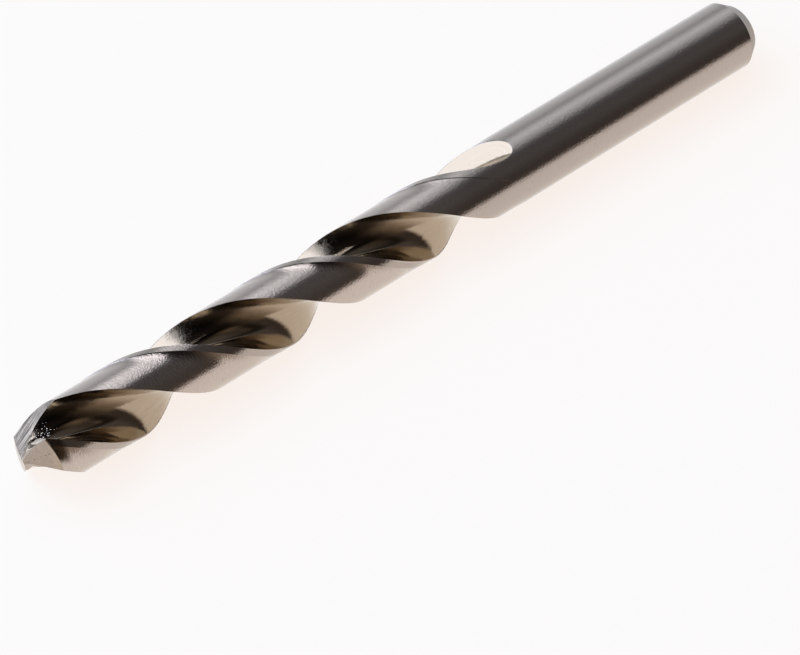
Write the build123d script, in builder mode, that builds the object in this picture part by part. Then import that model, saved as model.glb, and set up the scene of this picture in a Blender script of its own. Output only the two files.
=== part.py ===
from build123d import *
import os
from math import asin, atan2, cos, degrees, radians, sin, sqrt, tan

# Jobber twist drill bit, 10.5 mm, with a parallel shank and a split point.
# The drill is one bar of steel, so it is one solid. The origin is the centre of the shank's flat end,
# +X runs along the axis to the point, and +Z is up when the drill lies on its side.

# ---- driving dimensions, in mm and degrees ----
diameter = 10.5
overall_length = 133.0
flute_length = 86.5  # from the tip to the end of the run-out
back_taper = 0.0003  # how much the fluted body's radius loses for each mm away from the tip
lead = 51.9
land_spans = 84.8
margin_spans = 11.6
clearance_depth = 0.12
half_web_at_point = 1.4
web_taper = 0.004  # how much the half web gains for each mm away from the tip
flute_lip_angle = 118.0  # the point angle that the flute would give a straight lip
leading_edge_clock = 75.1  # angle of the first land's leading edge in the tip's plane, from +Y to +Z
shank_chamfer_length = 2.0
shank_chamfer_depth = 1.27

# ---- run-out, where the grinding wheel leaves the bar ----
run_out_length = 12.0
run_out_lag = 9.0  # turn that the flute loses against the helix
run_out_shift = 0.8  # how far the groove moves towards the heel
run_out_sections = 9
clearance_run_out_length = 9.0

# ---- split point ----
lip_clock = 50.4  # direction that both lips run in, from +Y to +Z
point_angle = 138.0
lip_offset = 0.91
lip_relief_angle = 3.0
flank_radius = 12.5
# Three corners of each face that the gash has, beside the first lip.
# Each corner is given along the lip, across it, and back from the tip.
gash_floor_corners = [(0.0, 0.0, 0.168), (1.0, 0.0, 0.814), (0.0, -1.0, 1.458)]
gash_lip_wall_corners = [(5.17, -0.915, 1.904), (2.2, -0.905, 0.764), (-0.65, -2.10, 2.457)]
gash_inner_wall_corners = [(2.2, -0.905, 0.764), (0.16, -0.32, 0.026), (-0.65, -2.10, 2.457)]

# ---- values worked out from the dimensions above ----
radius = diameter / 2
clearance_radius = radius - clearance_depth
shank_radius = radius - back_taper * flute_length
flute_end = overall_length - flute_length
run_out_start = flute_end + run_out_length
twist_rate = 360 / lead
flute_spans = 180 - land_spans
lip_reach = sqrt(radius**2 - half_web_at_point**2)

# ---- cutters ----
rake_shares = [1.0, 0.73, 0.47, 0.26, 0.1, 0.025]  # shares of the way from the web to the rim
heel_steps = 6
overcut = 0.8  # how far each cutter stands outside the bar
exit_gap = 0.02  # how far a fading cutter ends clear of the bar
heel_overlap = 6.0  # turn that the clearance runs on past the heel, into the open flute
section_twist = 15.0  # turn between two sections of a cutter
section_spacing = section_twist / twist_rate
flank_stock_length = 8.0


def clock(station):
    """Angle of the first land's leading edge at a station along the axis."""
    return leading_edge_clock - (overall_length - station) * twist_rate


# ---- the flute's section ----
# It is drawn about the axis with the flute's middle upwards and its rake side to the right.
def rake_side(reach):
    """Point of the rake side at a distance from the axis: a straight lip carried back along the helix."""
    around_web = degrees(asin(half_web_at_point / reach) - asin(half_web_at_point / radius))
    lip_fall = (lip_reach - sqrt(reach**2 - half_web_at_point**2)) / tan(radians(flute_lip_angle / 2))
    angle = radians(flute_spans / 2 - around_web + lip_fall * twist_rate)
    return Vector(reach * sin(angle), reach * cos(angle))


def heel_side(steps):
    """Points of the heel side: an arc from the foot of the rake side that passes the heel's edge."""
    foot = rake_side(half_web_at_point)
    away = foot.normalized()
    heel = Vector(-radius * sin(radians(flute_spans / 2)), radius * cos(radians(flute_spans / 2)))
    chord = heel - foot
    arc_radius = chord.length**2 / (2 * chord.dot(away))
    centre = foot + away * arc_radius
    first = atan2(-away.Y, -away.X)
    last = atan2(heel.Y - centre.Y, heel.X - centre.X)
    if last > first:
        last -= radians(360)
    last -= overcut / arc_radius
    angles = [first + (last - first) * step / steps for step in range(1, steps + 1)]
    return [centre + Vector(cos(angle), sin(angle)) * arc_radius for angle in angles]


def flute_wall():
    """The wall from the rake side to the heel side, as points for a spline."""
    depth = radius - half_web_at_point
    reaches = [radius + overcut] + [half_web_at_point + depth * share for share in rake_shares]
    return [rake_side(reach) for reach in reaches] + heel_side(heel_steps)


def flute_stations():
    """Stations of the flute's sections from beyond the tip, each with its lift and share of the exit."""
    count = round((overall_length + section_spacing - run_out_start) / section_spacing)
    stations = []
    for index in range(count, -1, -1):
        station = run_out_start + section_spacing * index
        stations.append((station, web_taper * (overall_length - station), 0.0))
    taper_lift = web_taper * (overall_length - run_out_start)
    leaving_lift = radius - half_web_at_point - taper_lift + exit_gap
    wheel_radius = (run_out_length**2 + leaving_lift**2) / (2 * leaving_lift)
    for index in range(1, run_out_sections + 1):
        gone = run_out_length * index / run_out_sections
        lift = taper_lift + wheel_radius - sqrt(wheel_radius**2 - gone**2)
        stations.append((run_out_start - gone, lift, (gone / run_out_length) ** 2))
    return stations


# One flute, as the body that the wheel clears.
wall_points = flute_wall()
with BuildPart() as flute:
    for station, lift, exit_share in flute_stations():
        middle = radians(clock(station) + flute_spans / 2 + run_out_lag * exit_share)
        outwards = Vector(0, cos(middle), sin(middle))
        sideways = Vector(0, sin(middle), -cos(middle))
        moved = outwards * lift - sideways * run_out_shift * exit_share
        section_plane = Plane(Vector(station, 0, 0) + moved, x_dir=sideways, z_dir=(1, 0, 0))
        with BuildSketch(section_plane):
            with BuildLine():
                wall = Spline(*wall_points)
                ThreePointArc(wall @ 1, (0, radius + 2 * overcut), wall @ 0)
            make_face()
    loft()

# The clearance ground behind one margin, fading into the shank past the flute.
with BuildPart() as clearance:
    fade_start = flute_end + clearance_run_out_length
    stations = [overall_length + section_spacing]
    while stations[-1] - section_spacing > fade_start:
        stations.append(stations[-1] - section_spacing)
    stations += [fade_start, flute_end]
    for station in stations:
        fade = max(fade_start - station, 0.0) / clearance_run_out_length
        inner_radius = clearance_radius + (clearance_depth + exit_gap) * fade
        first = clock(station) - margin_spans
        last = clock(station) - land_spans - heel_overlap
        with BuildSketch(Plane((station, 0, 0), x_dir=(0, 1, 0), z_dir=(1, 0, 0))):
            with BuildLine():
                inner = CenterArc((0, 0), inner_radius, first, last - first)
                outer = CenterArc((0, 0), radius + overcut, first, last - first)
                Line(inner @ 0, outer @ 0)
                Line(inner @ 1, outer @ 1)
            make_face()
    loft()


# ---- the split point ----
def tip_point(along, across, back):
    """Point near the tip: along the first lip, across it towards its land, and back from the tip."""
    turn = radians(lip_clock)
    sideways = along * cos(turn) + across * sin(turn)
    upwards = along * sin(turn) - across * cos(turn)
    return Vector(overall_length - back, sideways, upwards)


def face_plane(corners):
    """Plane through three corners, with its normal on the side that is ground away."""
    first, second, third = [tip_point(*corner) for corner in corners]
    normal = (second - first).cross(third - first)
    if normal.X < 0:
        normal = normal * -1
    return Plane(origin=first, z_dir=normal)


def gash(wall_corners):
    """Wedge that one pass of the gashing wheel clears, between the gash's floor and a wall."""
    with BuildPart() as wedge:
        with Locations((overall_length, 0, 0)):
            Box(4 * radius, 4 * radius, 4 * radius)
        split(bisect_by=face_plane(gash_floor_corners), keep=Keep.TOP)
        split(bisect_by=face_plane(wall_corners), keep=Keep.TOP)
    return wedge.part


# A flank is part of a cylinder that lies along its lip, so the relief grows behind the lip.
point_fall = 1 / tan(radians(point_angle / 2))
steepness = sqrt(1 + point_fall**2)
crest_offset = lip_offset + flank_radius * sin(radians(lip_relief_angle))
axis_depth = sqrt(flank_radius**2 - crest_offset**2)
flank_axis_along = -axis_depth * point_fall / steepness
flank_axis_point = tip_point(flank_axis_along, -crest_offset, axis_depth / steepness)
ruling = tip_point(1, 0, point_fall) - tip_point(0, 0, 0)
with BuildPart() as flank:
    with Locations((overall_length, 0, 0)):
        Box(flank_stock_length, 3 * radius, 3 * radius)
    with BuildSketch(Plane(flank_axis_point, z_dir=ruling)):
        Circle(flank_radius)
    extrude(amount=4 * radius, both=True, mode=Mode.SUBTRACT)

gash_beside_lip = gash(gash_lip_wall_corners)
gash_at_centre = gash(gash_inner_wall_corners)
both_sides = [Location((0, 0, 0)), Location((0, 0, 0), (180, 0, 0))]

# ---- the drill ----
# The bar is turned with a chamfered shank and a fluted body that narrows slightly away from the tip.
bar_outline = [
    (0, 0),
    (0, shank_radius - shank_chamfer_depth),
    (shank_chamfer_length, shank_radius),
    (flute_end, shank_radius),
    (overall_length, radius),
    (overall_length, 0),
]
with BuildPart() as twist_drill:
    with BuildSketch(Plane.XY):
        with BuildLine():
            Polyline(*bar_outline, close=True)
        make_face()
    revolve(axis=Axis.X)
    with Locations(*both_sides):
        add(flute.part, mode=Mode.SUBTRACT)
        add(clearance.part, mode=Mode.SUBTRACT)
        add(flank.part, mode=Mode.SUBTRACT)
        add(gash_beside_lip, mode=Mode.SUBTRACT)
        add(gash_at_centre, mode=Mode.SUBTRACT)

twist_drill.part.label = "twist_drill"
os.makedirs("parts", exist_ok=True)
export_step(twist_drill.part, "parts/twist_drill.step")
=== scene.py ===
# %% [markdown]
# # A bright twist drill
# A twist drill is one bar of high-speed steel. Its shape is already exact in the imported model, so that
# model is loaded first and stays as it is. The size of its box is read, and the table is laid at its
# bottom.

# %% Load the drill
import bpy
import math
from mathutils import Matrix, Vector


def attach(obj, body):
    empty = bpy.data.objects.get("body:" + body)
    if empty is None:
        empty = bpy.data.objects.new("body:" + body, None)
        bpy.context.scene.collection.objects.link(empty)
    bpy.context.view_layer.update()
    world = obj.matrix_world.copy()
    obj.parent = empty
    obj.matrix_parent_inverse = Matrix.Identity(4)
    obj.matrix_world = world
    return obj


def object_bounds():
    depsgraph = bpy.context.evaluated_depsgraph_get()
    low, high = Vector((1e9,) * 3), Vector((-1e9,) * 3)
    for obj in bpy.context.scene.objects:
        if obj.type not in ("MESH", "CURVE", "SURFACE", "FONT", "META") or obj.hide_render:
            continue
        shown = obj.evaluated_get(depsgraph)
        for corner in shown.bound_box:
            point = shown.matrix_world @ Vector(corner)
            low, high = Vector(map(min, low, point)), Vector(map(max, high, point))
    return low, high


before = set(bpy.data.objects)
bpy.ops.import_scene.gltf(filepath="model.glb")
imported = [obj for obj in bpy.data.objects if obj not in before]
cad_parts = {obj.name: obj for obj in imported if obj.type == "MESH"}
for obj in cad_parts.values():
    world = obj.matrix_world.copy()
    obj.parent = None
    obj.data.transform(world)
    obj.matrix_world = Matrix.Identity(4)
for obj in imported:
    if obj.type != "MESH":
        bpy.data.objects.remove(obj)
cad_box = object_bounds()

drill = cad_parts["twist_drill"]
print("drill from", [round(v, 4) for v in cad_box[0]], "to", [round(v, 4) for v in cad_box[1]])

# %% [markdown]
# ## The camera
# The camera looks down on the drill from above its point, so the bar runs away up to the right.
# A long lens keeps both ends nearly the same width. Giving the camera its three directions as the
# columns of a matrix is exact, where turning it by hand would drift.

# %% Place the camera
camera_place = Vector((0.3414, 0.2895, 0.3328))
looks_along = Vector((-0.5172, -0.5457, -0.6592)).normalized()
to_the_right = Vector((-0.7258, 0.6878, 0.0)).normalized()
upwards = to_the_right.cross(looks_along)

camera_data = bpy.data.cameras.new("camera")
camera_data.sensor_fit = "HORIZONTAL"
camera_data.sensor_width = 36.0
camera_data.lens = 171.7
camera_data.clip_start = 0.01
camera_data.clip_end = 20.0
camera = bpy.data.objects.new("camera", camera_data)
camera.matrix_world = Matrix((to_the_right, upwards, -looks_along)).transposed().to_4x4()
camera.matrix_world.translation = camera_place
bpy.context.scene.collection.objects.link(camera)
bpy.context.scene.camera = camera
bpy.context.scene.view_settings.view_transform = "Standard"
print("camera", [round(v, 3) for v in camera_place], "lens", camera_data.lens)

# %% [markdown]
# ## Small helpers for nodes
# Every material and the world are node trees. A few short helpers add a node, give it numbers or
# sockets to read, and return what it makes. So the cells below read as the steps of a finish.


# %% Node helpers
def add_node(tree, kind, **settings):
    """A new node with its own properties set."""
    node = tree.nodes.new(kind)
    for name, value in settings.items():
        setattr(node, name, value)
    return node


def feed(tree, socket, value):
    """Lets an input read another node's output, or fixes its value. A colour is three numbers."""
    if isinstance(value, bpy.types.NodeSocket):
        tree.links.new(value, socket)
    elif socket.type == "RGBA":
        socket.default_value = (*value, 1.0)
    else:
        socket.default_value = value


def maths(tree, operation, *values):
    """A Math node: each value is a number or a socket to read."""
    node = add_node(tree, "ShaderNodeMath", operation=operation)
    for socket, value in zip(node.inputs, values):
        feed(tree, socket, value)
    return node.outputs[0]


def vector_maths(tree, operation, *values, output="Vector"):
    """A Vector Math node: each value is three numbers or a socket to read."""
    node = add_node(tree, "ShaderNodeVectorMath", operation=operation)
    for socket, value in zip(node.inputs, values):
        feed(tree, socket, value)
    return node.outputs[output]


def split_vector(tree, vector):
    """The X, Y and Z of a vector."""
    node = add_node(tree, "ShaderNodeSeparateXYZ")
    feed(tree, node.inputs[0], vector)
    return tuple(node.outputs)


print("helpers make nodes, feed them and do their maths")

# %% [markdown]
# ## Helpers for masks and blends
# A mask is a number from 0 to 1 that says where a colour or a finish belongs. Soft steps make its
# edges, and masks are combined by multiplying them. A blend then lays one value over another.


# %% Mask and blend helpers
def smooth_step(tree, value, low, high):
    """0 below low, 1 above high, and a soft step between. Low may be the larger, to step down."""
    node = add_node(tree, "ShaderNodeMapRange", interpolation_type="SMOOTHSTEP")
    node.inputs["From Min"].default_value = low
    node.inputs["From Max"].default_value = high
    feed(tree, node.inputs["Value"], value)
    return node.outputs["Result"]


def product(tree, first, *others):
    """Multiplies masks and numbers together."""
    for other in others:
        first = maths(tree, "MULTIPLY", first, other)
    return first


def soft_mask(tree, *steps):
    """1 where all the soft steps are 1. Each step is (value, low, high)."""
    return product(tree, *[smooth_step(tree, *step) for step in steps])


def blend(tree, kind, factor, first, second):
    """Mixes two values of one kind: FLOAT, VECTOR or RGBA."""
    one, two, out = {"FLOAT": (2, 3, 0), "VECTOR": (4, 5, 1), "RGBA": (6, 7, 2)}[kind]
    node = add_node(tree, "ShaderNodeMix", data_type=kind)
    for index, value in ((0, factor), (one, first), (two, second)):
        feed(tree, node.inputs[index], value)
    return node.outputs[out]


def ramp(tree, factor, stops):
    """A Color Ramp through (position, colour) stops."""
    node = add_node(tree, "ShaderNodeValToRGB")
    elements = node.color_ramp.elements
    while len(elements) < len(stops):
        elements.new(0.5)
    for element, (position, colour) in zip(elements, stops):
        element.position = position
        element.color = (*colour, 1.0)
    feed(tree, node.inputs["Fac"], factor)
    return node.outputs["Color"]


print("helpers step, mask, blend and ramp")

# %% [markdown]
# ## The strips of the room
# Polished steel has almost no colour of its own: it shows the room. The room is long strips that run
# the same way as the drill, so which strip a direction meets depends on its turn about the drill's
# axis: 0 degrees is the front, 90 overhead and 180 behind. The front is dark, and after it come two
# soft bright strips with a gap between them. From -180 to 0 degrees the strips hold the table's
# reflection, warm where the drill shades it. The first list is for directions that lean well towards
# the shank. The second is for all the others, and is much darker overhead.

# %% List the strips
strips_behind_shank = [
    (-180, (0.76, 0.78, 0.81)),
    (-157, (1.00, 1.02, 1.05)),
    (-140, (1.15, 1.15, 1.17)),
    (-120, (1.12, 1.10, 1.09)),
    (-104, (1.03, 0.96, 0.90)),
    (-86, (0.97, 0.88, 0.80)),
    (-38, (0.98, 0.876, 0.81)),
    (-14, (0.95, 0.85, 0.785)),
    (-8, (0.82, 0.72, 0.66)),
    (-3, (0.26, 0.21, 0.18)),
    (2, (0.065, 0.050, 0.042)),
    (20, (0.07, 0.058, 0.052)),
    (45, (0.105, 0.095, 0.090)),
    (68, (0.10, 0.092, 0.092)),
    (80, (0.12, 0.115, 0.12)),
    (92, (0.38, 0.38, 0.40)),
    (104, (0.62, 0.63, 0.66)),
    (118, (0.86, 0.88, 0.91)),
    (130, (0.64, 0.65, 0.68)),
    (141, (0.42, 0.425, 0.44)),
    (153, (0.58, 0.59, 0.61)),
    (166, (0.70, 0.715, 0.745)),
    (180, (0.76, 0.78, 0.81)),
]
strips_before_point = [
    (-180, (0.95, 0.94, 0.95)),
    (-140, (1.00, 0.95, 0.92)),
    (-108, (0.98, 0.876, 0.81)),
    (-60, (0.90, 0.79, 0.71)),
    (-41, (0.66, 0.56, 0.49)),
    (-25, (0.44, 0.35, 0.29)),
    (-12, (0.30, 0.225, 0.17)),
    (5, (0.20, 0.15, 0.11)),
    (20, (0.10, 0.075, 0.055)),
    (38, (0.03, 0.022, 0.018)),
    (52, (0.012, 0.009, 0.008)),
    (125, (0.012, 0.009, 0.008)),
    (150, (0.36, 0.36, 0.36)),
    (180, (0.85, 0.85, 0.86)),
]
print("room with", len(strips_behind_shank), "and", len(strips_before_point), "stops")

# %% [markdown]
# ## Joining the strips
# A world reads the direction of a ray as its Generated coordinate. The X of it says how far the ray
# leans towards the point. The first list gives way to the second over a short stretch of X. Overhead
# and behind the drill that stretch lies a little nearer to the point, and in the table's reflection
# it is shorter. Past the point everything is darkened once more, except what the table shows below
# and behind the drill.

# %% Join the strips
moves_by, darkened_by = -0.08, 0.85
world = bpy.data.worlds.new("room")
world.use_nodes = True
bpy.context.scene.world = world
room = world.node_tree
room.nodes.clear()
direction = add_node(room, "ShaderNodeTexCoord").outputs["Generated"]
lean, level, rise = split_vector(room, direction)
turn = maths(room, "ARCTAN2", rise, level)
turn_degrees = maths(room, "DEGREES", turn)
turn_share = maths(room, "MULTIPLY_ADD", turn, 1 / math.tau, 0.5)
behind, before = [
    ramp(room, turn_share, [((angle + 180) / 360, colour) for angle, colour in strips])
    for strips in (strips_behind_shank, strips_before_point)
]
overhead = smooth_step(room, turn_degrees, 76, 92)
moved_lean = maths(room, "MULTIPLY_ADD", overhead, moves_by, lean)
wall_change = smooth_step(room, moved_lean, -0.47, -0.30)
table_change = smooth_step(room, lean, -0.37, -0.30)
at_table = smooth_step(room, turn_degrees, 6, -4)
towards_point = blend(room, "FLOAT", at_table, wall_change, table_change)
walls = blend(room, "RGBA", towards_point, behind, before)
past_point = soft_mask(room, (lean, 0.0, 0.22), (turn_degrees, -60, -35))
walls = blend(room, "RGBA", product(room, past_point, darkened_by), walls, (0.0, 0.0, 0.0))
print("the strips are joined by", len(room.nodes), "nodes")

# %% [markdown]
# ## The lights in the room
# One small lamp overhead gives the bright spot beside each margin. A large soft box behind the drill
# and past its point whitens the flutes where they open. Each is a patch of the room, with a mask that
# has soft edges: two edges in X and two in turn for the lamp, and one slanted side, one end that
# moves as the box widens, and a foot above the table for the box.

# %% Add the lights
small_lamp_colour = (2.25, 2.21, 2.33)
lamp_edges = [
    (lean, -0.45, -0.34),
    (lean, -0.22, -0.27),
    (turn_degrees, 82, 92),
    (turn_degrees, 140, 120),
]
walls = blend(room, "RGBA", soft_mask(room, *lamp_edges), walls, small_lamp_colour)
soft_box_colour = (2.10, 2.25, 2.70)
towards_soft_box = Vector((0.832, -0.520, -0.195)).normalized()
widens_by = 0.27
box_side = vector_maths(room, "DOT_PRODUCT", direction, towards_soft_box, output="Value")
box_widens = smooth_step(room, turn_degrees, 108, 122)
box_lean = maths(room, "MULTIPLY_ADD", box_widens, widens_by, lean)
box_edges = [(box_side, -0.010, 0.010), (box_lean, 0.02, 0.12), (rise, 0.10, 0.20)]
walls = blend(room, "RGBA", soft_mask(room, *box_edges), walls, soft_box_colour)
print("small lamp with", len(lamp_edges), "soft edges and a soft box with", len(box_edges))

# %% [markdown]
# ## The backdrop
# The steel sees the room with its strips and lights. The camera itself sees only an even white
# backdrop, because the world can tell a camera ray from a mirrored one.

# %% Finish the room
backdrop_colour = (0.973, 0.955, 0.955)
mirrored = add_node(room, "ShaderNodeBackground")
feed(room, mirrored.inputs["Color"], walls)
backdrop = add_node(room, "ShaderNodeBackground")
feed(room, backdrop.inputs["Color"], backdrop_colour)
room_mix = add_node(room, "ShaderNodeMixShader")
feed(room, room_mix.inputs[0], add_node(room, "ShaderNodeLightPath").outputs["Is Camera Ray"])
feed(room, room_mix.inputs[1], mirrored.outputs[0])
feed(room, room_mix.inputs[2], backdrop.outputs[0])
feed(room, add_node(room, "ShaderNodeOutputWorld").inputs["Surface"], room_mix.outputs[0])
print("room tree with", len(room.nodes), "nodes")

# %% [markdown]
# ## The table
# The drill lies on a white table. The table glows a little by itself, as if it were lit evenly, and
# the rest of its brightness comes from the lamp. So the drill still leaves a faint, warm, soft
# shadow on it. Mirror rays pass through the table, because the room's strips already hold its
# reflection.

# %% Lay the table
table_top = cad_box[0].z
table_half = 1.4
middle_along = 0.066
table_glow, table_matt = (0.930, 0.829, 0.773), (0.036, 0.114, 0.140)
table_mesh = bpy.data.meshes.new("table")
ways = [(-1, -1), (1, -1), (1, 1), (-1, 1)]
table_corners = [(middle_along + table_half * x, table_half * y, table_top) for x, y in ways]
table_mesh.from_pydata(table_corners, [], [(0, 1, 2, 3)])
table = bpy.data.objects.new("table", table_mesh)
bpy.context.scene.collection.objects.link(table)
table_paint = bpy.data.materials.new("white_table")
table_paint.use_nodes = True
paint = table_paint.node_tree
paint.nodes.clear()
glow = add_node(paint, "ShaderNodeEmission")
feed(paint, glow.inputs["Color"], table_glow)
matt = add_node(paint, "ShaderNodeBsdfDiffuse")
feed(paint, matt.inputs["Color"], table_matt)
lit_table = add_node(paint, "ShaderNodeAddShader")
feed(paint, lit_table.inputs[0], glow.outputs[0])
feed(paint, lit_table.inputs[1], matt.outputs[0])
feed(paint, add_node(paint, "ShaderNodeOutputMaterial").inputs["Surface"], lit_table.outputs[0])
table.visible_glossy = False
table_mesh.materials.append(table_paint)
print("table at", round(table_top, 5))

# %% [markdown]
# ## The lamp
# The lamp stands behind the drill, so that the drill's shadow falls towards the front. It is a wide
# disk, which keeps the shadow soft. Mirror rays don't see it either: the room has the lights that the
# steel shows.

# %% Hang the lamp
lamp_data = bpy.data.lights.new("soft_lamp", "AREA")
lamp_data.shape = "DISK"
lamp_data.size = 0.5
lamp_data.energy = 1.5
lamp = bpy.data.objects.new("soft_lamp", lamp_data)
lamp_place = Vector((0.45, -0.40, 0.60))
lamp.rotation_mode = "QUATERNION"
lamp.rotation_quaternion = (lamp_place - Vector((middle_along, 0, 0))).to_track_quat("Z", "Y")
lamp.location = lamp_place
lamp.visible_glossy = False
bpy.context.scene.collection.objects.link(lamp)
print("lamp of", lamp_data.energy, "W at", [round(v, 2) for v in lamp_place])

# %% [markdown]
# ## Where each finish lies
# The drill has three ground finishes: the lands and shank, the flutes, and the faces of the point.
# They can be told apart by place alone. A point of a flute is nearer to the axis than any land. A
# face of the point lies in a plane. All of it is read from Object coordinates, in millimetres here,
# so the finishes stay on the steel from every side.

# %% Read the place on the drill
overall_length = 133.0
millimetres_per_metre = 1000.0
steel = bpy.data.materials.new("bright_tool_steel")
steel.use_nodes = True
tree = steel.node_tree
tree.nodes.clear()
in_millimetres = add_node(tree, "ShaderNodeVectorMath", operation="SCALE")
feed(tree, in_millimetres.inputs["Scale"], millimetres_per_metre)
feed(tree, in_millimetres.inputs[0], add_node(tree, "ShaderNodeTexCoord").outputs["Object"])
place = in_millimetres.outputs[0]
along, side, height = split_vector(tree, place)
squares = maths(tree, "ADD", product(tree, side, side), product(tree, height, height))
reach = maths(tree, "SQRT", squares)
angle = maths(tree, "ARCTAN2", height, side)
back = maths(tree, "SUBTRACT", overall_length, along)
print("the place is read from the tip back, over", overall_length, "mm")

# %% [markdown]
# ## Unwinding the helix
# The flutes wind round the bar. When that winding is taken out of a point's angle, what is left says
# where the point lies in the drill's section. Each half of the section is the same, so half a turn is
# counted from 0 to 1: first the flute, then the land, and the margin at the end. The flutes end some
# way before the shank's end, so one more soft step says where the fluted part is.

# %% Unwind the helix
lead = 51.9
leading_edge = math.radians(75.1)
helix = maths(tree, "ADD", angle, maths(tree, "MULTIPLY_ADD", back, math.tau / lead, -leading_edge))
helix_share = maths(tree, "FRACT", maths(tree, "DIVIDE", helix, math.pi))
fluted = smooth_step(tree, along, 54.0, 66.0)
print("flutes turn once in", lead, "mm")

# %% [markdown]
# ## Grinding lines
# A wheel leaves fine lines that are long one way and very narrow the other. Noise stretched along
# the wheel's path gives them. The lands, the flutes and the point all need it in another
# direction, so it is a node group: it takes how far a point lies along and across the wheel's path.


# %% Build the grinding lines group
def make_grinding_lines():
    """A node group: noise that is long along the wheel's path and narrow across it."""
    group = bpy.data.node_groups.new("grinding_lines", "ShaderNodeTree")
    inputs = (("Along", 0.0), ("Across", 0.0), ("Depth", 0.0), ("Length", 0.5), ("Fineness", 5.0))
    for name, start in inputs:
        socket = group.interface.new_socket(name, in_out="INPUT", socket_type="NodeSocketFloat")
        socket.default_value = start
    group.interface.new_socket("Lines", in_out="OUTPUT", socket_type="NodeSocketFloat")
    start, end = add_node(group, "NodeGroupInput"), add_node(group, "NodeGroupOutput")
    stretched = add_node(group, "ShaderNodeCombineXYZ")
    feed(group, stretched.inputs[0], product(group, start.outputs["Along"], start.outputs["Length"]))
    feed(group, stretched.inputs[1], product(group, start.outputs["Across"], start.outputs["Fineness"]))
    feed(group, stretched.inputs[2], start.outputs["Depth"])
    noise = add_node(group, "ShaderNodeTexNoise")
    noise.inputs["Scale"].default_value = 1.0
    noise.inputs["Detail"].default_value = 3.0
    noise.inputs["Roughness"].default_value = 0.65
    feed(group, noise.inputs["Vector"], stretched.outputs[0])
    feed(group, end.inputs["Lines"], noise.outputs["Fac"])
    return group


grinding_lines = make_grinding_lines()
print("grinding lines take", [s.name for s in grinding_lines.interface.items_tree])

# %% [markdown]
# ## The gash floors
# The point was ground in a few flat passes. The long face left by the gashing wheel shows coarse
# lines. A point lies on that face when its distance to the face's plane is almost nothing, and the
# second lip has the same face, turned half way round the axis. The plane is given along the lip and
# across it, as millimetres back from the tip.

# %% Mark the gash floors
lip_turn = math.radians(50.4)
floor_start, floor_along, floor_across = 0.168, 0.646, -1.29
side_c, side_s = [product(tree, side, f(lip_turn)) for f in (math.cos, math.sin)]
height_c, height_s = [product(tree, height, f(lip_turn)) for f in (math.cos, math.sin)]
on_lip = maths(tree, "ADD", side_c, height_s)
off_lip = maths(tree, "SUBTRACT", side_s, height_c)
floor_steepness = math.sqrt(1 + floor_along**2 + floor_across**2)
fall = maths(tree, "MULTIPLY_ADD", off_lip, floor_across, product(tree, on_lip, floor_along))
past_start = maths(tree, "SUBTRACT", back, floor_start)
floor_marks = []
for half in (1.0, -1.0):
    depth = maths(tree, "SUBTRACT", past_start, product(tree, fall, half))
    away = maths(tree, "ABSOLUTE", maths(tree, "DIVIDE", depth, floor_steepness))
    floor_marks.append(smooth_step(tree, away, 0.05, 0.02))
near_point = smooth_step(tree, back, 8.5, 8.0)
on_gash_floor = product(tree, maths(tree, "MAXIMUM", *floor_marks), near_point)
print("gash floor is steep by", round(floor_steepness, 3))

# %% [markdown]
# ## The other faces
# The flutes lie nearer to the axis than the lands, and so does the flank, which takes up the first two
# millimetres behind the tip. A small facet lies at the root of each lip: close to the web, in front of
# the lip, and cut off by a slanted edge. Its brightness is a painted highlight. The chamfer at the
# shank's end is duller than the bar.

# %% Mark the flutes, flanks, facets and chamfer
inside = (reach, 5.12, 5.04)
in_flute = soft_mask(tree, inside, (back, 1.6, 2.6), (along, 40.0, 44.0))
on_flank = soft_mask(tree, inside, (back, 2.6, 1.6))
facet_slant = 2.2
facet_edge = maths(tree, "MULTIPLY_ADD", reach, facet_slant, back)
before_lip = product(tree, on_lip, off_lip)
facet_steps = [
    (facet_edge, 7.2, 6.9),
    (back, 0.85, 1.0),
    (reach, 2.45, 2.35),
    (before_lip, -0.15, -0.30),
]
on_facet = soft_mask(tree, *facet_steps)
chamfer_end, after_chamfer = 2.0, 2.05
past_chamfer = smooth_step(tree, along, chamfer_end, after_chamfer)
on_chamfer = soft_mask(tree, (along, after_chamfer, chamfer_end), (along, 0.005, 0.02))
print("facets with", len(facet_steps), "soft edges, chamfer", chamfer_end, "mm long")

# %% [markdown]
# ## How the lands reflect
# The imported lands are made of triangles, which would make long reflections jagged. So the lands and
# the shank use the exact direction straight out from the axis as their normal. Behind each margin
# the reflections bend, as they would in a hollow that climbs to the margin's step. The bend is only
# in the shading: a slope, worked out from the turn about the helix, is added to that direction.

# %% Work out the lands' normals
land_radius, margin_radius = 5.13, 5.25
hollow_start, hollow_end = 0.80, 0.9356
hollow_curve, hollow_steepness = 1.75, 0.36
mean_radius = (land_radius + margin_radius) / 2
helix_tilt = math.atan(math.tau * mean_radius / lead)
out_y = maths(tree, "DIVIDE", side, reach)
out_z = maths(tree, "DIVIDE", height, reach)
hollow = add_node(tree, "ShaderNodeMapRange")
hollow.inputs["From Min"].default_value = hollow_start
hollow.inputs["From Max"].default_value = hollow_end
feed(tree, hollow.inputs["Value"], helix_share)
climb = maths(tree, "POWER", hollow.outputs["Result"], hollow_curve)
behind_margin = maths(tree, "LESS_THAN", helix_share, hollow_end)
slope = product(tree, climb, hollow_steepness, behind_margin, fluted)
round_slope = product(tree, slope, math.cos(helix_tilt))
smooth_normal = add_node(tree, "ShaderNodeCombineXYZ")
feed(tree, smooth_normal.inputs[0], product(tree, slope, math.sin(helix_tilt)))
feed(tree, smooth_normal.inputs[1], maths(tree, "MULTIPLY_ADD", out_z, round_slope, out_y))
feed(tree, smooth_normal.inputs[2], maths(tree, "SUBTRACT", out_z, product(tree, out_y, round_slope)))
print("the helix leans", round(math.degrees(helix_tilt), 1), "degrees")

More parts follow.
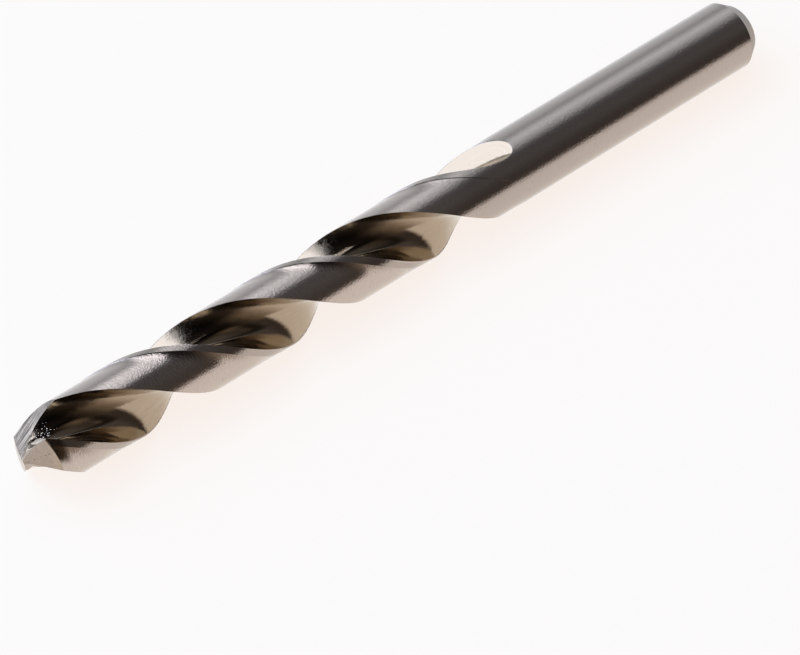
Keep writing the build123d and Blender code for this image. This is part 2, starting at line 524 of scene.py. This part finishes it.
# %% [markdown]
# ## Where the lands are
# A land or a margin is known by its distance from the axis. The margins come a little nearer to the
# axis away from the point, as the drill tapers. Further back than the point's own faces, anything
# that stands out past the flutes is a land or the shank too.

# %% Mark the lands
back_taper = 0.0003
taper_here = maths(tree, "MULTIPLY_ADD", back, -back_taper, margin_radius)
off_land = maths(tree, "ABSOLUTE", maths(tree, "SUBTRACT", reach, land_radius))
off_margin = maths(tree, "ABSOLUTE", maths(tree, "SUBTRACT", reach, taper_here))
exactly_round = smooth_step(tree, maths(tree, "MINIMUM", off_land, off_margin), 0.022, 0.014)
outside = soft_mask(tree, (reach, 5.06, 5.10), (back, 8.0, 9.0))
on_land = product(tree, maths(tree, "MAXIMUM", exactly_round, outside), past_chamfer)
print("lands at", land_radius, "mm and margins at", margin_radius, "mm from the axis")

# %% [markdown]
# ## Lines and tones of each finish
# The lands are ground round the bar, the flutes along the helix, and the gash floors in straight
# lines at a slant to the lip. Each has its own grinding lines, and three tones over them. The lands
# are brightest, because their tones carry a painted reflection. The flutes are browner, and the
# coarse lines of the gash floors go from nearly black to bright.


# %% Draw the lines and their tones
def lines(way, across, depth, length, fineness):
    """Grinding lines with these coordinates, in millimetres, and numbers."""
    node = add_node(tree, "ShaderNodeGroup", node_tree=grinding_lines)
    for socket, value in zip(node.inputs, (way, across, depth, length, fineness)):
        feed(tree, socket, value)
    return node.outputs["Lines"]


def tones(position, dark, middle, light, edges=(0.30, 0.55, 0.75)):
    """Three tones over one set of grinding lines."""
    return ramp(tree, position, list(zip(edges, (dark, middle, light))))


land_lines = lines(product(tree, angle, margin_radius), along, reach, 1.1, 7.0)
flute_lines = lines(back, product(tree, helix, reach), reach, 0.25, 10.0)
gash_way = maths(tree, "SUBTRACT", on_lip, off_lip)
gash_across = maths(tree, "ADD", on_lip, off_lip)
gash_lines = lines(gash_way, gash_across, 0.0, 0.22, 5.5)
shank_colour = tones(land_lines, (0.46, 0.425, 0.40), (0.48, 0.445, 0.42), (0.50, 0.465, 0.44))
# The lands' tones are the shank's steel painted brighter: a painted reflection, not another steel.
painted_brighter_land_colour = tones(land_lines, (0.53, 0.485, 0.455), (0.565, 0.52, 0.49), (0.60, 0.555, 0.525))
flank_colour = tones(land_lines, (0.37, 0.33, 0.295), (0.41, 0.369, 0.333), (0.46, 0.42, 0.385))
flute_colour = tones(flute_lines, (0.39, 0.33, 0.25), (0.435, 0.37, 0.285), (0.475, 0.41, 0.325))
gash_tones = (0.045, 0.039, 0.034), (0.25, 0.225, 0.19), (0.60, 0.545, 0.46)
gash_colour = tones(gash_lines, *gash_tones, edges=(0.42, 0.50, 0.60))
print("steel with", sum(node.type == "VALTORGB" for node in tree.nodes), "sets of tones")

# %% [markdown]
# ## Laying the finishes
# The shank gives way to the lands. Their colour is the same steel painted brighter, as a painted
# reflection, and their margins are duller. Then each finish is laid over the one before, where its
# mask says. The facets' near-white colour is a painted highlight. The cutting heat has left a dark
# tint on the land just behind each corner of the point.

# %% Lay the finishes
margin_colour, chamfer_colour = (0.36, 0.335, 0.31), (0.22, 0.20, 0.18)
# The facet colour is a painted highlight: near white, brighter than steel reflects.
facet_painted_highlight_colour, heat_colour = (0.95, 0.88, 0.82), (0.10, 0.075, 0.05)
margin_strength, chamfer_strength, heat_strength = 0.55, 0.4, 0.9
on_margin = maths(tree, "GREATER_THAN", helix_share, hollow_end)
duller = product(tree, on_margin, fluted, margin_strength)
painted_brighter_land_colour = blend(tree, "RGBA", duller, painted_brighter_land_colour, margin_colour)
colour = blend(tree, "RGBA", fluted, shank_colour, painted_brighter_land_colour)
near_corner = soft_mask(tree, (back, 4.3, 3.2), (helix_share, 0.76, 0.84), (reach, 5.0, 5.06))
finishes = {
    "chamfer": (product(tree, on_chamfer, chamfer_strength), chamfer_colour),
    "flank": (on_flank, flank_colour),
    "flutes": (in_flute, flute_colour),
    "gash floors": (on_gash_floor, gash_colour),
    "facets": (on_facet, facet_painted_highlight_colour),
    "heat tint": (product(tree, near_corner, heat_strength), heat_colour),
}
for mask, finish in finishes.values():
    colour = blend(tree, "RGBA", mask, colour, finish)
print("finishes: shank, lands,", ", ".join(finishes))

# %% [markdown]
# ## Pits and specks
# Handling and coolant leave tiny dark pits. Voronoi cells give one point each. A cell shows only a
# pit's width round its point, and a second random number leaves most of the cells empty.

# %% Add the pits
pit_cells, pit_edge, pit_core = 1.6, 0.13, 0.06
empty_share, pit_strength, pit_colour = 0.72, 0.75, (0.10, 0.075, 0.06)
pits = add_node(tree, "ShaderNodeTexVoronoi")
pits.inputs["Scale"].default_value = pit_cells
feed(tree, pits.inputs["Vector"], place)
pit_size = smooth_step(tree, pits.outputs["Distance"], pit_edge, pit_core)
cell_colour = add_node(tree, "ShaderNodeSeparateColor")
feed(tree, cell_colour.inputs[0], pits.outputs["Color"])
chosen = maths(tree, "GREATER_THAN", cell_colour.outputs[0], empty_share)
pitted = product(tree, pit_size, chosen, pit_strength)
colour = blend(tree, "RGBA", pitted, colour, pit_colour)
print("pits up to", round(pit_edge / pit_cells, 3), "mm from their points")

# %% [markdown]
# ## Roughness and relief
# The same lines that colour a finish also roughen it and stand up from it a little. A fine grain is
# added to that relief, more of it on the lands, and breaks up the edges of the bright reflections.

# %% Set the roughness and the relief
land_rough = blend(tree, "FLOAT", land_lines, 0.08, 0.22)
flute_rough = blend(tree, "FLOAT", flute_lines, 0.05, 0.15)
rough = blend(tree, "FLOAT", in_flute, land_rough, flute_rough)
for mask, roughness in ((on_gash_floor, 0.28), (on_facet, 0.12), (on_chamfer, 0.42)):
    rough = blend(tree, "FLOAT", mask, rough, roughness)
relief = blend(tree, "FLOAT", in_flute, land_lines, product(tree, flute_lines, 0.3))
for mask, lifted in ((on_gash_floor, gash_lines), (on_facet, 0.5)):
    relief = blend(tree, "FLOAT", mask, relief, lifted)
grain_cells, land_grain, flute_grain = 4.0, 2.0, 0.5
grain = add_node(tree, "ShaderNodeTexNoise")
grain.inputs["Scale"].default_value = grain_cells
grain.inputs["Detail"].default_value = 1.0
feed(tree, grain.inputs["Vector"], place)
grain_height = blend(tree, "FLOAT", in_flute, land_grain, flute_grain)
relief = maths(tree, "MULTIPLY_ADD", grain.outputs["Fac"], grain_height, relief)
print("grain with", grain_cells, "cells to a millimetre")

# %% [markdown]
# ## The root of the flutes
# The narrow root of a flute shows the dark front of the room. Where it faces up it is shaded as if it
# leaned further round the axis, which brings that dark reflection in. Where the lean is half way, a
# painted shade darkens the steel's colour, to hide the bright line that the reflection would leave
# there. The lean too is only in the shading. The normals are turned into Object space for it and back
# again, so it stays on the drill.


# %% Lean the root's normals
def turn_normal(vector, start, end):
    """A normal taken from one space into another."""
    node = add_node(tree, "ShaderNodeVectorTransform", vector_type="NORMAL")
    node.convert_from, node.convert_to = start, end
    feed(tree, node.inputs[0], vector)
    return node.outputs[0]


root_lean = math.radians(-34)
# The root's colour and strength are a painted shade, not a finish of the steel.
root_painted_shade_colour, root_painted_shade_strength = (0.06, 0.048, 0.038), 3.2
geometry = add_node(tree, "ShaderNodeNewGeometry")
packed_normal = turn_normal(geometry.outputs["Normal"], "WORLD", "OBJECT")
faces_up = smooth_step(tree, split_vector(tree, packed_normal)[2], 0.55, 0.90)
flute_only = maths(tree, "SUBTRACT", in_flute, on_facet)
at_root = product(tree, flute_only, smooth_step(tree, reach, 2.1, 1.6), faces_up)
# Painted shade: the steel's colour is darkened where the lean is half way.
half_leaned_painted_shade = product(tree, at_root, maths(tree, "SUBTRACT", 1.0, at_root), root_painted_shade_strength)
colour = blend(tree, "RGBA", half_leaned_painted_shade, colour, root_painted_shade_colour)
upright = blend(tree, "VECTOR", on_land, packed_normal, smooth_normal.outputs[0])
leaned = add_node(tree, "ShaderNodeVectorRotate", rotation_type="X_AXIS")
feed(tree, leaned.inputs["Vector"], upright)
feed(tree, leaned.inputs["Angle"], product(tree, at_root, root_lean))
steel_normal = vector_maths(tree, "NORMALIZE", turn_normal(leaned.outputs[0], "OBJECT", "WORLD"))
print("the root leans", round(math.degrees(root_lean)), "degrees about the axis")

# %% [markdown]
# ## The steel's shader
# One metal shader takes the colour, the roughness and the normal with its relief, and goes on the
# whole drill. The relief is some hundredths of a millimetre, so a bump is enough and the packed
# shape isn't touched.

# %% Assemble the steel
relief_height = 0.00002
bump = add_node(tree, "ShaderNodeBump")
bump.inputs["Strength"].default_value = 0.5
bump.inputs["Distance"].default_value = relief_height
feed(tree, bump.inputs["Height"], relief)
feed(tree, bump.inputs["Normal"], steel_normal)
shader = add_node(tree, "ShaderNodeBsdfPrincipled")
shader.inputs["Metallic"].default_value = 1.0
feed(tree, shader.inputs["Base Color"], colour)
feed(tree, shader.inputs["Roughness"], rough)
feed(tree, shader.inputs["Normal"], bump.outputs[0])
feed(tree, add_node(tree, "ShaderNodeOutputMaterial").inputs["Surface"], shader.outputs[0])
for material_slot in drill.material_slots:
    material_slot.material = steel
print("steel with", len(tree.nodes), "nodes on", drill.name)

# %% [markdown]
# ## Grinding crumbs
# Bright crumbs of steel cling to the root of the flute beside the point. Geometry Nodes scatter them
# on the drill's own surface: thickest at one centre, and fewer further away. Each is a tiny sphere of
# random size. The drill itself is only read, and isn't changed.


# %% Build the crumbs' tree
def make_crumbs():
    """A geometry tree that scatters small spheres on a surface near one place."""
    group = bpy.data.node_groups.new("crumbs", "GeometryNodeTree")
    wanted = {
        "Surface": "NodeSocketObject",
        "Centre": "NodeSocketVector",
        "Spread": "NodeSocketFloat",
        "Density": "NodeSocketFloat",
        "Smallest": "NodeSocketFloat",
        "Largest": "NodeSocketFloat",
        "Seed": "NodeSocketInt",
        "Metal": "NodeSocketMaterial",
    }
    for name, kind in wanted.items():
        group.interface.new_socket(name, in_out="INPUT", socket_type=kind)
    group.interface.new_socket("Geometry", in_out="OUTPUT", socket_type="NodeSocketGeometry")
    start, end = add_node(group, "NodeGroupInput"), add_node(group, "NodeGroupOutput")
    link = group.links.new
    surface = add_node(group, "GeometryNodeObjectInfo", transform_space="RELATIVE")
    link(start.outputs["Surface"], surface.inputs["Object"])
    stretch, thinning = (0.5, 1.0, 1.0), 1.6
    position = add_node(group, "GeometryNodeInputPosition").outputs[0]
    offset = vector_maths(group, "SUBTRACT", position, start.outputs["Centre"])
    longer = vector_maths(group, "MULTIPLY", offset, stretch)
    away = vector_maths(group, "LENGTH", longer, output="Value")
    ratio = maths(group, "DIVIDE", away, start.outputs["Spread"])
    nearness = maths(group, "MAXIMUM", maths(group, "SUBTRACT", 1.0, ratio), 0.0)
    thins = maths(group, "POWER", nearness, thinning)
    scatter = add_node(group, "GeometryNodeDistributePointsOnFaces")
    link(surface.outputs["Geometry"], scatter.inputs["Mesh"])
    link(maths(group, "LESS_THAN", ratio, 1.0), scatter.inputs["Selection"])
    link(product(group, start.outputs["Density"], thins), scatter.inputs["Density"])
    link(start.outputs["Seed"], scatter.inputs["Seed"])
    size = add_node(group, "FunctionNodeRandomValue", data_type="FLOAT")
    link(start.outputs["Smallest"], size.inputs[2])
    link(start.outputs["Largest"], size.inputs[3])
    link(start.outputs["Seed"], size.inputs["Seed"])
    ball = add_node(group, "GeometryNodeMeshIcoSphere")
    ball.inputs["Radius"].default_value = 1.0
    ball.inputs["Subdivisions"].default_value = 2
    placed = add_node(group, "GeometryNodeInstanceOnPoints")
    link(scatter.outputs["Points"], placed.inputs["Points"])
    link(ball.outputs["Mesh"], placed.inputs["Instance"])
    link(size.outputs[1], placed.inputs["Scale"])
    real = add_node(group, "GeometryNodeRealizeInstances")
    link(placed.outputs[0], real.inputs[0])
    paint_it = add_node(group, "GeometryNodeSetMaterial")
    link(real.outputs[0], paint_it.inputs["Geometry"])
    link(start.outputs["Metal"], paint_it.inputs["Material"])
    link(paint_it.outputs[0], end.inputs["Geometry"])
    return group


crumbs_tree = make_crumbs()
print("crumbs tree with", len(crumbs_tree.nodes), "nodes")

# %% [markdown]
# ## Growing the crumbs
# The tree runs once as a modifier on an empty mesh, with its inputs set first. The mesh it makes is
# kept and the modifier is taken away, so the crumbs are a plain mesh that rides on the drill.


# %% Grow the crumbs
def grow(name, group, values):
    """A mesh made by a geometry tree with these inputs, kept as plain mesh."""
    host = bpy.data.objects.new(name, bpy.data.meshes.new(name))
    bpy.context.scene.collection.objects.link(host)
    modifier = host.modifiers.new(name, "NODES")
    modifier.node_group = group
    for item in group.interface.items_tree:
        if item.in_out == "INPUT":
            modifier[item.identifier] = values[item.name]
    graph = bpy.context.evaluated_depsgraph_get()
    made = bpy.data.meshes.new_from_object(host.evaluated_get(graph), depsgraph=graph)
    host.modifiers.remove(modifier)
    host.data = made
    return host


crumb_steel = bpy.data.materials.new("crumb_steel")
crumb_steel.use_nodes = True
crumb_shader = crumb_steel.node_tree.nodes["Principled BSDF"]
crumb_shader.inputs["Base Color"].default_value = (0.92, 0.90, 0.87, 1.0)
crumb_shader.inputs["Metallic"].default_value = 0.6
crumb_shader.inputs["Roughness"].default_value = 0.35
crumb_values = {
    "Surface": drill,
    "Centre": (0.1284, -0.0012, 0.0014),
    "Spread": 0.0012,
    "Density": 1.7e7,
    "Smallest": 0.000018,
    "Largest": 0.00008,
    "Seed": 11,
    "Metal": crumb_steel,
}
crumbs = grow("grinding_crumbs", crumbs_tree, crumb_values)
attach(crumbs, "root")
print("crumbs with", len(crumbs.data.polygons), "faces")
